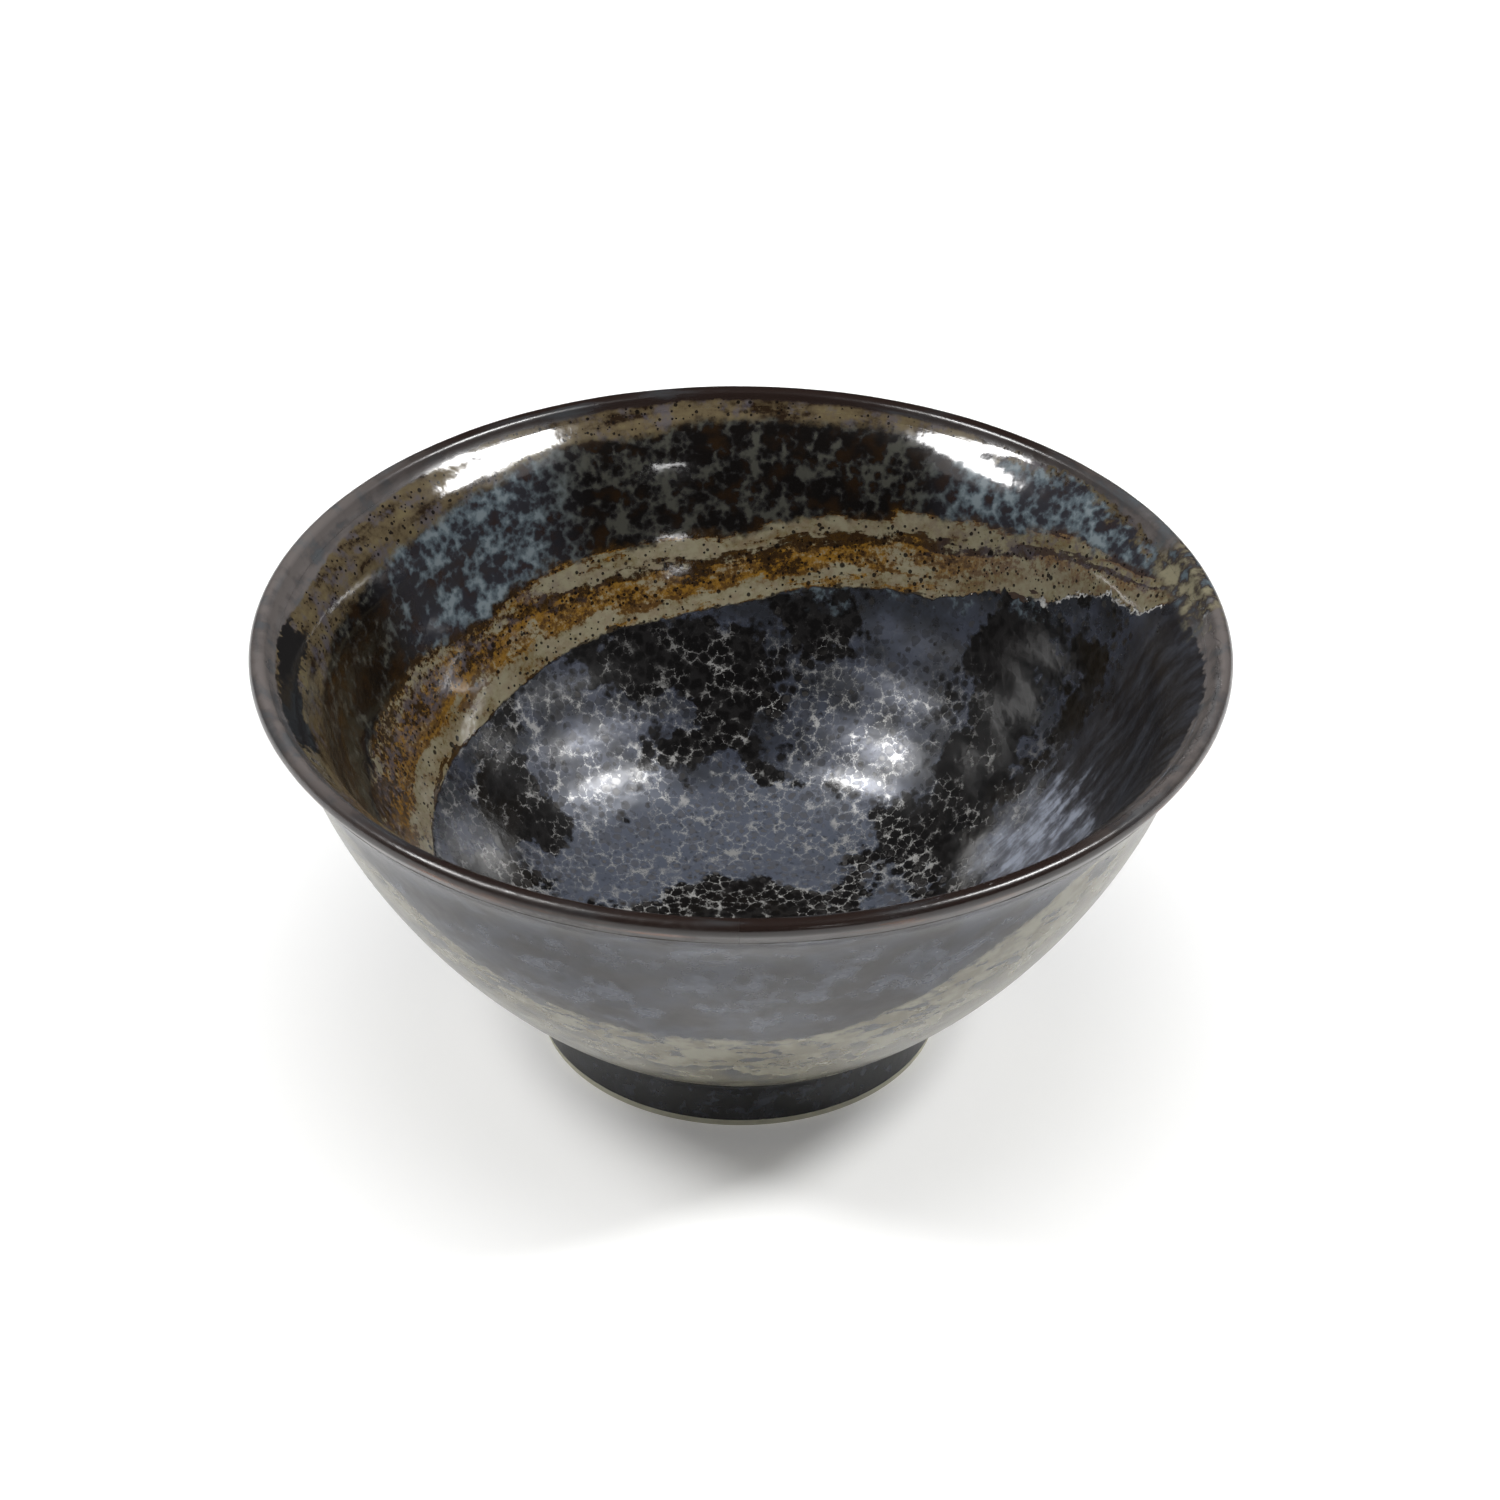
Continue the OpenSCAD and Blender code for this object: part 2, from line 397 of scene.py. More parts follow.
def turnPiece(name, profile, glaze, settings):
    # profile is the shown line, the hidden line and the reach where the shown line starts
    blank = bpy.data.objects.new(name + "Profile", profileOf(name, *profile))
    scene.collection.objects.link(blank)
    modifier = blank.modifiers.new("wheel", "NODES")
    modifier.node_group = wheelTree
    for key, value in {**settings, "Glaze": glaze}.items():
        modifier[wheelInputs[key]] = value
    bpy.context.view_layer.update()
    graph = bpy.context.evaluated_depsgraph_get()
    made = bpy.data.meshes.new_from_object(blank.evaluated_get(graph),
                                           preserve_all_data_layers=True, depsgraph=graph)
    bpy.data.objects.remove(blank)
    work = bmesh.new()
    work.from_mesh(made)
    loose = [edge for edge in work.edges if not edge.link_faces]
    bmesh.ops.delete(work, geom=loose, context="EDGES")
    bmesh.ops.recalc_face_normals(work, faces=work.faces)
    work.to_mesh(made)
    work.free()
    made.set_sharp_from_angle(angle=radians(40))
    made.name = name
    piece = bpy.data.objects.new(name, made)
    scene.collection.objects.link(piece)
    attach(piece, "root")
    print(name, len(made.polygons), "faces")
    return piece


backAzimuth = 90.0  # degrees; a turn of 0 or 1 is the front of the bowl, and 0.5 its back


def turnOf(azimuth):
    return (backAzimuth - azimuth) / 360 + 0.5


def around(points, scale):
    # (azimuth in degrees, reach in mm) to the curve points that stations() takes
    return sorted((turnOf(azimuth), reach / scale) for azimuth, reach in points)


class GlazeBench(NodeBench):
    def __init__(self, name):
        self.material = bpy.data.materials.new(name)
        self.material.use_nodes = True
        super().__init__(self.material.node_tree)
        self.tree.nodes.clear()
        coordinates = self.add("ShaderNodeTexCoord").outputs["Object"]
        self.place = self.vector("SCALE", coordinates, scale=1 / mm)
        parts = self.parts(self.place)
        self.x, self.y = parts["X"], parts["Y"]

    def reachAttribute(self):
        node = self.add("ShaderNodeAttribute", attribute_name="reach")
        return self.times(node.outputs["Fac"], 1 / mm)

    def turnAround(self):
        return self.plus(self.times(self.math("ARCTAN2", self.x, self.y), 1 / (2 * np.pi)), 0.5)

    def streakPlace(self, along, radius):
        # runs long round the bowl and short up the wall
        up = self.add("ShaderNodeCombineXYZ", {2: along}).outputs[0]
        return self.vector("ADD", self.onRing(radius), up)

    def onRing(self, radius):
        flat = self.add("ShaderNodeCombineXYZ", {0: self.x, 1: self.y}).outputs[0]
        return self.vector("SCALE", self.vector("NORMALIZE", flat), scale=radius)

    def spot(self, azimuth, reach, radius, wobble):
        # 1 at a place on the inner wall, falling to 0 at radius, with a ragged edge
        r, z = innerAt(reach)
        centre = (r * cos(radians(azimuth)), r * sin(radians(azimuth)), z)
        distance = self.vector("DISTANCE", self.place, centre)
        return self.fall(self.plus(distance, wobble), 0.55 * radius, radius)

    def finish(self, colour, roughness, height, metal=0.0, gloss=1.5):
        bump = self.add("ShaderNodeBump", {"Height": height, "Distance": mm, "Strength": 1.0})
        shader = self.add("ShaderNodeBsdfPrincipled", {
            "Base Color": colour, "Roughness": roughness, "Metallic": metal,
            "Normal": bump.outputs[0]})
        shader.inputs["IOR"].default_value = gloss
        self.add("ShaderNodeOutputMaterial", {0: shader.outputs[0]})
        return self.material


innerLine = line(innerPoint, 2, floorFrom, 200) + line(floorPoint, 0, 1, 80)
innerReach = np.concatenate([[0.0], np.cumsum(
    np.linalg.norm(np.diff(np.array(innerLine), axis=0), axis=1))])


def innerAt(reach):
    return (float(np.interp(reach, innerReach, [p[0] for p in innerLine])),
            float(np.interp(reach, innerReach, [p[1] for p in innerLine])))


glazeColours = {
    # as they look on a screen, each channel from 0 to 255
    # partly the lip glaze's own grey, partly painted reflection on the lip's sides
    "lipGreyAndSheen": (92, 87, 85),
    "lipBrown": (30, 21, 18),
    "lipRust": (92, 52, 20),
    "olivePale": (114, 109, 90),
    "olive": (92, 83, 60),
    "rimTan": (80, 70, 52),
    "pinkBrown": (96, 80, 66),
    "amber": (108, 76, 16),
    "rust": (60, 38, 10),
    "darkBrown": (30, 20, 11),
    "purpleBrown": (42, 34, 34),
    "brownBlack": (14, 12, 11),
    "duskGrey": (42, 42, 47),
    "violetGrey": (72, 69, 76),
    "mossGrey": (56, 54, 46),
    "blueGrey": (78, 88, 94),
    "frost": (108, 117, 121),
    "black": (11, 10, 10),
    "charcoal": (25, 24, 24),
    "ash": (52, 50, 48),
    "slate": (36, 38, 43),
    "slateBlue": (54, 58, 69),
    "slatePale": (78, 83, 94),
    # the silver lace of the floor, and also the colour of the painted glint along the swirl's ridge
    "silverAndGlint": (170, 169, 166),
    "speck": (10, 7, 6),
    "cellGrey": (74, 72, 71),
    "sideDark": (28, 26, 27),
    "sideGrey": (50, 52, 58),
    "runGrey": (62, 64, 73),
    "runPale": (130, 136, 148),
    "outerDusk": (30, 26, 26),
    "outerSlate": (44, 47, 56),
    "outerCloud": (72, 76, 86),
    "outerPale": (120, 117, 102),
    "outerOlive": (98, 93, 78),
    "outerFleck": (56, 60, 68),
    "outerTan": (92, 78, 70),
    "clay": (202, 200, 182),
    "clayDeep": (178, 174, 152),
    "clayGrit": (140, 126, 104),
}
glazeColours = {name: colourOf(*shade) for name, shade in glazeColours.items()}

insideSwirl = {
    # lower and upper edge of the main swirl, lower edge of the streak under the lip and of the
    # lip's own band, each as (azimuth, mm below the lip)
    "lower": [(-90, 0), (0, 0), (10, 1), (14, 5), (18, 9.3), (25, 11.5), (30, 13.5), (37, 17.8),
              (45, 19.8), (52, 23), (60, 25), (70, 26), (80, 27.6), (90, 30), (100, 31.3),
              (112, 32), (122, 33), (135, 35.2), (150, 37), (165, 38), (180, 39.2), (200, 41),
              (225, 45), (250, 50), (269.9, 50)],
    "upper": [(-90, 0), (0, 0), (14, 0), (18, 3), (22, 5), (30, 6.8), (37, 8), (47, 11),
              (60, 13.3), (70, 15), (80, 17), (90, 19.2), (100, 20.2), (112, 20.8), (125, 21.5),
              (140, 24.5), (150, 23.5), (165, 24.2), (180, 25), (200, 28), (225, 36), (250, 50),
              (269.9, 50)],
    "streak": [(-90, 0), (-35, 0), (10, 0), (16, 4.5), (22, 3), (35, 1.5), (50, 2.2), (66, 3),
               (80, 3.4), (95, 3.8), (105, 5.2), (113, 4.5), (122, 6.2), (135, 8), (150, 9.4),
               (165, 10.2), (180, 11.5), (195, 11), (215, 6), (240, 2), (269.9, 0)],
    "lip": [(-90, 2.2), (-30, 3.4), (-18, 2.6), (0, 2.5), (9, 3.4), (16, 2.5), (25, 1.2), (60, 0.9),
            (110, 1.0), (130, 1.5), (142, 2.2), (155, 2.8), (168, 3.4), (176, 2.2), (200, 2.0),
            (230, 2.3), (269.9, 2.2)],
    "scale": 60.0,
    "begin": (0.05, 0.12),       # turn at which the swirls begin, past the front
    "sideFrom": (0.694, 0.722),  # turns between which the plain side wall begins
    "sideTo": (0.03, 0.10),      # and ends
    "sideDown": (44, 56),        # mm below the lip where it meets the floor
}

insidePatches = {
    # places on the lower wall and floor as (azimuth, mm below the lip, radius)
    "slate": [(57, 30, 10), (60, 41, 12), (75, 50, 8), (127, 39, 9), (132, 50, 11), (70, 64, 12),
              (105, 63, 13), (140, 62, 10), (170, 42, 8), (95, 58, 8), (90, 67, 9)],
    "black": [(40, 27, 8), (34, 34, 8), (31, 42, 8), (27, 50, 8), (95, 38, 8), (110, 37, 7),
              (76, 31, 6), (152, 47, 8), (146, 54, 6), (90, 80, 12), (30, 14, 3), (120, 36, 5),
              (94, 46, 6), (84, 53, 6), (103, 52, 5)],
}


def lipBand(b, reach):
    # thin brown glaze on the lip, rusty along its outer edge; towards both sides of the bowl its
    # top turns grey, partly the glaze's own grey and partly painted reflection
    c = glazeColours
    soft = b.noise(b.place, 4, 4, 0.6)
    along = b.noise(b.streakPlace(reach, 9), 2.2, 4)
    # painted reflection: the lip is made grey towards the left and right of the bowl
    sideSheen = b.rise(b.math("ABSOLUTE", b.x), 38, 60)
    grey = b.tint(b.times(b.rise(b.plus(soft, b.swing(along, 0.8)), 0.40, 0.70), 0.55),
                  c["lipGreyAndSheen"], c["lipBrown"])
    grey = b.tint(b.times(b.rise(soft, 0.50, 0.66), 0.35), grey, c["blueGrey"])
    grey = b.tint(b.minus(1.0, sideSheen), grey, c["lipBrown"])
    grey = b.tint(b.times(b.rise(along, 0.50, 0.75), 0.35), grey, c["blueGrey"])
    over = b.fall(reach, -3.4, -1.2)
    grey = b.tint(b.times(over, 0.75), grey, c["lipBrown"])
    rustLine = b.times(b.rise(reach, -5.0, -4.3), b.fall(reach, -3.9, -3.0))
    rust = b.tint(b.rise(along, 0.45, 0.62), c["lipBrown"], c["lipRust"])
    return b.tint(rustLine, grey, rust)


floorPattern = {
    "cellSize": 1.35,       # mm across the dark cells inside the lace
    "smallCellSize": 0.75,
    "bend": 0.50,           # mm that the cells are pulled about
    "cloudSize": 11,        # mm across the slate clouds
    "laceFrom": (29, 44),   # mm below the lip where the lace sets in
    "lowFloor": (52, 60),   # and where the slate turns paler
    "laceShare": 0.80,
}


def floorGlaze(b, reach, wide, fine):
    # black glaze with slate clouds, round dark cells and a broken silver lace between them
    c = glazeColours
    bent = b.noiseShift(b.place, 0.9, floorPattern["bend"], 4)
    cell = b.cells(bent, floorPattern["cellSize"])
    middle = cell.outputs["Distance"]
    chance = b.parts(cell.outputs["Color"])
    border = b.cells(bent, floorPattern["cellSize"], "DISTANCE_TO_EDGE").outputs["Distance"]
    smallCell = b.cells(bent, floorPattern["smallCellSize"])
    tiny = smallCell.outputs["Distance"]
    tinyChance = b.parts(smallCell.outputs["Color"])[0]
    clouds = b.noise(b.place, floorPattern["cloudSize"], 5, 0.6, 0.4)
    ragged = b.plus(b.times(wide, 9), b.times(fine, 3))
    patches = {kind: b.strongest(*(b.spot(*place, ragged) for place in places))
               for kind, places in insidePatches.items()}
    lean = b.minus(patches["slate"], patches["black"])
    cloudy = b.plus(clouds, b.times(lean, 0.26))
    edge = b.plus(cloudy, b.plus(b.times(b.minus(middle, 0.45), 0.16), b.times(fine, 0.10)))
    slateShare = b.rise(edge, 0.46, 0.56)
    slate = b.tint(b.rise(b.noise(b.place, 5, 3), 0.35, 0.65), c["slate"], c["slateBlue"])
    depth = b.plus(reach, b.times(wide, 10))
    lowFloor = b.rise(depth, *floorPattern["lowFloor"])
    slate = b.tint(b.times(lowFloor, 0.75), slate, c["slatePale"])
    faint = b.times(b.rise(b.plus(middle, fine), 0.35, 0.70), 0.8)
    ground = b.tint(faint, c["black"], c["charcoal"])
    ground = b.tint(slateShare, ground, slate)
    size = b.swing(chance[1], 0.34)
    rounds = b.times(b.fall(b.plus(middle, size, b.times(fine, 0.25)), 0.30, 0.46),
                     b.rise(chance[2], 0.22, 0.40))
    rounds = b.times(rounds, b.rise(edge, 0.30, 0.48))
    roundColour = b.tint(b.rise(chance[0], 0.50, 0.90), c["charcoal"], c["ash"])
    roundColour = b.tint(b.times(lowFloor, 0.7), roundColour, c["cellGrey"])
    rounds = b.times(rounds, b.plus(0.35, b.times(chance[1], 0.6)))
    ground = b.tint(rounds, ground, roundColour)
    small = b.times(b.fall(tiny, 0.20, 0.44), slateShare, b.rise(tinyChance, 0.45, 0.65))
    ground = b.tint(b.times(small, 0.5), ground, c["charcoal"])
    slateShare = b.times(slateShare, b.minus(1.0, rounds))
    sparkle = b.noise(b.place, 0.20, 2, 0.75)
    crystal = b.noise(b.place, 0.5, 4, 0.75, 0.8)
    thread = b.fall(b.plus(border, b.swing(crystal, 0.50)), -0.02, 0.10)
    thread = b.times(thread, b.rise(sparkle, 0.34, 0.60))
    joint = b.plus(b.times(middle, 0.8), b.times(tiny, 0.2),
                   b.plus(b.swing(crystal, 0.5), b.swing(sparkle, 0.6)))
    presence = b.plus(b.noise(b.place, 4.5, 4, 0.65), b.times(patches["black"], -0.05))
    presence = b.plus(presence, b.times(lowFloor, 0.05))
    presence = b.times(b.rise(presence, 0.41, 0.60), b.rise(depth, *floorPattern["laceFrom"]))
    lace = b.times(b.rise(joint, 0.46, 0.66), thread, presence)
    knots = b.times(b.rise(joint, 0.66, 0.82), presence)
    dust = b.times(b.rise(sparkle, 0.60, 0.78), b.times(presence, b.rise(middle, 0.40, 0.60)))
    lace = b.strongest(lace, b.times(knots, 0.9), b.times(dust, 0.5))
    ground = b.tint(b.times(lace, floorPattern["laceShare"]), ground, c["silverAndGlint"])
    return ground, slateShare, lace, middle


def sideWall(b, reach):
    # the plain dark wall at the right, its glaze drawn down in faint streaks, paler lower down
    c = glazeColours
    down = b.add("ShaderNodeCombineXYZ", {0: b.times(reach, 0.25), 2: b.times(reach, 0.18)})
    runs = b.noise(b.vector("ADD", b.onRing(50.0), down.outputs[0]), 2.2, 5, 0.65)
    colour = b.tint(b.rise(runs, 0.40, 0.72), c["sideDark"], c["sideGrey"])
    cloud = b.noise(b.place, 3.0, 5, 0.65)
    mixed = b.plus(b.times(runs, 0.55), b.times(cloud, 0.45))
    pale = b.tint(b.rise(mixed, 0.42, 0.60), c["runGrey"], c["runPale"])
    low = b.plus(b.minus(reach, b.times(b.y, 0.3)), b.swing(mixed, 34))
    low = b.times(b.rise(low, 28, 38), b.fall(b.y, 9, 17))
    return b.tint(low, colour, pale)


mottles = {
    "veinCells": (2.1, 1.0),    # mm across the large and the small brown cells
    "bend": 0.35,
    # browner places, as (azimuth, mm below the lip, radius)
    "brown": [(149, 17, 9), (163, 17, 9), (175, 16, 9), (186, 18, 9), (200, 16, 10)],
}


def mottledGlaze(b, turn, wide):
    # blue-grey veins round brown cells, in the zone between the two swirls
    c = glazeColours
    bent = b.noiseShift(b.place, 1.2, mottles["bend"], 3)
    large, small = (b.cells(bent, size).outputs["Distance"] for size in mottles["veinCells"])
    here = b.noise(b.place, 4.6, 5, 0.65)
    crisp = b.noise(b.place, 0.6, 3, 0.6)
    sides = b.strongest(b.times(b.fall(turn, 0.40, 0.44), b.rise(turn, 0.31, 0.345)),
                        b.rise(turn, 0.57, 0.60))
    vein = b.plus(b.times(large, 0.62), b.times(small, 0.40), b.swing(here, 1.35))
    vein = b.plus(vein, b.plus(b.swing(crisp, 0.24), b.times(sides, 0.12)))
    blots = b.noise(b.place, 2.4, 3, 0.5)
    vein = b.plus(vein, b.times(b.swing(blots, sides), 0.7))
    ragged = b.times(wide, 8)
    hollow = b.strongest(*(b.spot(*place, ragged) for place in mottles["brown"]))
    vein = b.minus(vein, b.times(hollow, 0.14))
    patchy = b.rise(b.noise(b.place, 4, 4), 0.45, 0.68)
    brown = b.tint(patchy, c["brownBlack"], c["darkBrown"])
    dusk = b.tint(patchy, c["duskGrey"], c["purpleBrown"])
    brown = b.tint(b.times(sides, 0.8), brown, dusk)
    bright = b.tint(b.plus(b.times(sides, 0.85), 0.1), c["mossGrey"], c["blueGrey"])
    middling = b.tint(sides, c["charcoal"], c["duskGrey"])
    colour = b.tint(b.rise(vein, 0.44, 0.58), brown, middling)
    colour = b.tint(b.rise(vein, 0.52, 0.82), colour, bright)
    colour = b.tint(b.times(b.rise(vein, 0.76, 0.98), b.times(sides, 0.8)), colour, c["frost"])
    return colour


def swirlGlaze(b, edges, reach, left, right, fine):
    # pale olive, amber and brown streaks of the main swirl: three washes laid over each other,
    # each with its own place across the band at the left, in the middle and at the right
    c = glazeColours
    above = b.minus(edges["lower"], reach)
    width = b.strongest(b.minus(edges["lower"], edges["upper"]), 0.5)
    streaks = b.noise(b.streakPlace(above, 13), 2.2, 5, 0.6)
    grain = b.noise(b.place, 0.8, 4, 0.7)
    patchy = b.noise(b.streakPlace(above, 26), 3.0, 4, 0.6)
    across = b.math("DIVIDE", above, width)
    across = b.plus(across, b.plus(b.swing(streaks, 0.75), b.times(fine, 0.15)))
    washes = {
        "amber": ([(0, 0.25), (0.04, 0.6), (0.10, 0.15), (0.20, 0.2), (0.30, 0.75), (0.45, 0.62),
                   (0.55, 0.85), (0.66, 0.6), (0.74, 0.05), (0.90, 0.05), (0.97, 0.7), (1, 0.9)],
                  [(0, 0.5), (0.05, 0.1), (0.24, 0.1), (0.36, 0.7), (0.55, 0.95), (0.75, 0.85),
                   (0.88, 0.6), (1, 0.7)],
                  [(0, 0.6), (0.05, 0.2), (0.20, 0.15), (0.42, 0.45), (0.55, 0.6), (0.68, 0.5),
                   (0.78, 0.1), (0.90, 0.1), (0.97, 0.6), (1, 0.8)]),
        "dark": ([(0, 0.5), (0.03, 0.2), (0.08, 0), (0.25, 0), (0.36, 0.35), (0.48, 0.2),
                  (0.62, 0.75), (0.70, 0.45), (0.76, 0), (0.94, 0), (1, 0.6)],
                 [(0, 0.6), (0.05, 0), (0.30, 0), (0.50, 0.3), (0.70, 0.5), (0.85, 0.45),
                  (1, 0.6)],
                 [(0, 0.8), (0.06, 0), (0.40, 0.1), (0.55, 0.35), (0.68, 0.8), (0.76, 0.2),
                  (0.92, 0), (1, 0.5)]),
    }
    share = {}
    for name, curves in washes.items():
        middle, far, near = (b.stations(across, curve) for curve in curves)
        share[name] = b.blend(left, b.blend(right, middle, near), far)
    stain = b.plus(b.swing(grain, 2.2), b.swing(patchy, 2.2))
    amber = b.rise(b.plus(share["amber"], stain), 0.25, 0.70)
    dark = b.rise(b.plus(share["dark"], b.times(stain, 0.7)), 0.30, 0.65)
    pale = b.tint(b.rise(b.plus(patchy, b.swing(grain, 0.5)), 0.36, 0.66),
                  c["olivePale"], c["olive"])
    clouded = b.noise(b.place, 1.5, 4, 0.65)
    pale = b.tint(b.times(b.rise(clouded, 0.40, 0.66), 0.45), pale, c["pinkBrown"])
    strong = b.tint(b.rise(b.plus(grain, b.swing(streaks, 0.7)), 0.38, 0.60),
                    c["amber"], c["rust"])
    strong = b.tint(b.times(right, 0.65), strong, c["pinkBrown"])
    colour = b.tint(b.times(amber, 0.9), pale, strong)
    brown = b.tint(right, c["darkBrown"], c["purpleBrown"])
    colour = b.tint(b.times(dark, 0.85), colour, brown)
    # violet-grey mottles lie in the upper half, towards both ends
    violet = b.times(b.rise(across, 0.44, 0.60), b.fall(across, 0.86, 1.0))
    violet = b.times(violet, b.strongest(left, b.times(right, 0.8)))
    violet = b.times(violet, b.rise(clouded, 0.47, 0.60))
    return b.tint(b.times(violet, 0.6), colour, c["violetGrey"])


speckSizes = [(2.6, 0.12, 0.45), (1.3, 0.17, 0.35), (0.75, 0.22, 0.40)]  # mm apart, radius, few


def ironSpecks(b):
    specks = []
    for size, radius, few in speckSizes:
        cell = b.cells(b.place, size)
        chance = b.parts(cell.outputs["Color"])
        spread = b.times(b.plus(chance[1], 0.5), radius)
        specks.append(b.times(b.fall(b.minus(cell.outputs["Distance"], spread), -0.03, 0.04),
                              b.rise(chance[0], few, few + 0.03)))
    return b.strongest(*specks)


def makeInsideGlaze():
    b = GlazeBench("insideGlaze")
    c = glazeColours
    reach = b.reachAttribute()
    turn = b.turnAround()
    scale = insideSwirl["scale"]
    edges = {name: b.times(b.stations(turn, around(insideSwirl[name], scale)), scale)
             for name in ("lower", "upper", "streak", "lip")}
    wide = b.minus(b.noise(b.place, 7, 3), 0.5)
    fine = b.minus(b.noise(b.place, 1.3, 3), 0.5)
    wobble = b.plus(b.times(wide, 5.0), b.times(fine, 3.5))
    left = b.fall(b.plus(turn, b.times(wide, 0.06)), 0.36, 0.45)
    right = b.rise(turn, 0.56, 0.64)
    calm = b.plus(b.times(wide, b.plus(1.0, b.times(right, 2.5))),
                  b.times(fine, b.plus(1.2, b.times(right, 2.5))))

    ground, slateShare, lace, middle = floorGlaze(b, reach, wide, fine)
    shiftedTurn = b.plus(turn, b.times(wide, 0.05))
    onSide = b.strongest(b.rise(shiftedTurn, *insideSwirl["sideFrom"]),
                         b.fall(shiftedTurn, *insideSwirl["sideTo"]))
    onSide = b.times(onSide, b.fall(b.plus(reach, b.times(wobble, 3)), *insideSwirl["sideDown"]))
    begun = b.rise(shiftedTurn, *insideSwirl["begin"])
    ground = b.tint(onSide, ground, sideWall(b, reach))
    mottled = mottledGlaze(b, turn, wide)
    under = b.minus(b.plus(reach, b.times(wobble, 1.2)), edges["lower"])
    fringe = b.times(b.fall(under, 1.2, 3.4),
                     b.times(b.rise(turn, 0.50, 0.54), b.fall(turn, 0.66, 0.69)))
    fringe = b.times(fringe, b.rise(b.noise(b.place, 5.0, 5, 0.6), 0.47, 0.57))
    fringeMix = b.noise(b.place, 1.6, 4, 0.6)
    fringeTint = b.tint(b.rise(fringeMix, 0.44, 0.60), c["slate"], c["blueGrey"])
    ground = b.tint(b.times(fringe, 0.85), ground, fringeTint)
    band = swirlGlaze(b, edges, reach, left, right, fine)
    streakTint = b.plus(b.noise(b.streakPlace(reach, 14), 1.8, 4), b.times(wide, 0.5))
    streakTint = b.plus(streakTint, b.swing(b.noise(b.place, 1.0, 4, 0.65), 0.6))
    streakColour = b.tint(b.rise(streakTint, 0.26, 0.56), c["darkBrown"], c["rimTan"])
    streakColour = b.tint(b.rise(streakTint, 0.50, 0.80), streakColour, c["olive"])
    cast = b.rise(b.noise(b.place, 3.2, 4, 0.65), 0.50, 0.66)
    streakColour = b.tint(b.times(cast, 0.7), streakColour, c["violetGrey"])

    shifted = b.plus(reach, wobble)
    inSwirl = b.times(b.rise(b.minus(edges["lower"], b.plus(reach, calm)), -0.15, 0.20), begun)
    overSwirl = b.times(b.rise(b.minus(edges["upper"], shifted), -0.9, 0.9), begun)
    inStreak = b.rise(b.minus(edges["streak"], b.plus(reach, b.times(calm, 1.8))), -0.8, 0.9)
    inLip = b.rise(b.minus(edges["lip"], b.plus(reach, b.times(calm, 0.7))), -0.2, 0.3)
    colour = b.tint(inSwirl, ground, band)
    colour = b.tint(overSwirl, colour, mottled)
    colour = b.tint(inStreak, colour, streakColour)
    speckled = b.strongest(b.times(inSwirl, b.minus(1.0, overSwirl)), inStreak)
    specks = b.times(ironSpecks(b), speckled)
    colour = b.tint(b.times(specks, 0.9), colour, c["speck"])

    # the swirl ends at the right in a thick ridge of glaze, its glint painted in as a pale silver
    # line
    ridgeGlint = b.math("ABSOLUTE", b.plus(b.minus(edges["lower"], b.plus(reach, calm)), 0.1))
    ridgeGlint = b.times(b.fall(ridgeGlint, 0.12, 0.34), b.rise(turn, 0.635, 0.65))
    ridgeGlint = b.times(ridgeGlint, b.rise(b.noise(b.place, 2.5, 2), 0.38, 0.50))
    colour = b.tint(ridgeGlint, colour, c["silverAndGlint"])

    # black patch at the left, and the lip over everything
    across = b.plus(turn, b.times(fine, 0.02))
    patch = b.times(b.rise(across, 0.186, 0.190), b.fall(across, 0.264, 0.269),
                    b.times(b.rise(shifted, 1.8, 2.1), b.fall(shifted, 6.0, 6.6)))
    colour = b.tint(patch, colour, c["charcoal"])
    swirlEnd = b.plus(turn, b.times(wobble, 0.009))
    swirlEnd = b.times(b.rise(swirlEnd, 0.675, 0.697), b.fall(swirlEnd, 0.722, 0.735))
    inLip = b.times(inLip, b.minus(1.0, b.times(swirlEnd, b.rise(reach, -3.5, -2.5))))
    colour = b.tint(inLip, colour, lipBand(b, reach))
    endMix = b.noise(b.place, 2.6, 4, 0.55)
    endTint = b.tint(b.rise(endMix, 0.36, 0.56), c["olivePale"], c["purpleBrown"])
    endTint = b.tint(b.rise(endMix, 0.50, 0.66), endTint, c["blueGrey"])
    ends = b.times(swirlEnd, b.fall(reach, 3, 5), b.rise(reach, -3.5, -2.5))
    colour = b.tint(ends, colour, endTint)

    bare = b.minus(1.0, inSwirl)
    # silvery crystals float on the slate parts of the floor
    crystals = b.plus(b.times(slateShare, 0.30), b.times(lace, 0.30))
    metal = b.times(bare, crystals, b.minus(1.0, onSide))
    matt = b.times(bare, b.plus(b.times(b.strongest(slateShare, lace), 0.11), 0.07))
    roughness = b.plus(0.10, matt, b.times(b.strongest(inLip, onSide), 0.14))
    skin = b.plus(b.times(b.noise(b.place, 2.5, 1), 0.04), b.times(b.noise(b.place, 0.5, 0), 0.004))
    height = b.plus(skin, b.times(inSwirl, 0.10))
    height = b.minus(height, b.times(middle, bare, 0.012))
    return b.finish(colour, roughness, height, metal, gloss=1.52)


outsideSwirl = {
    # lower edge of the dark front patch, as (azimuth, mm below the widest line of the lip)
    "patch": [(-269.9, 0), (-180, 0), (-165, 3), (-150, 10), (-140, 14), (-130, 20.5), (-120, 26),
              (-110, 28.3), (-100, 30), (-90, 30.5), (-80, 29.5), (-70, 26.5), (-60, 19),
              (-50, 12), (-40, 5), (-30, 0), (89.9, 0)],
    "scale": 60.0,
    "backFrom": 6.0,
}


def aroundBack(points, scale):
    # like around(), with the turn starting and ending at the back
    return sorted(((backAzimuth - azimuth) / 360, reach / scale) for azimuth, reach in points)


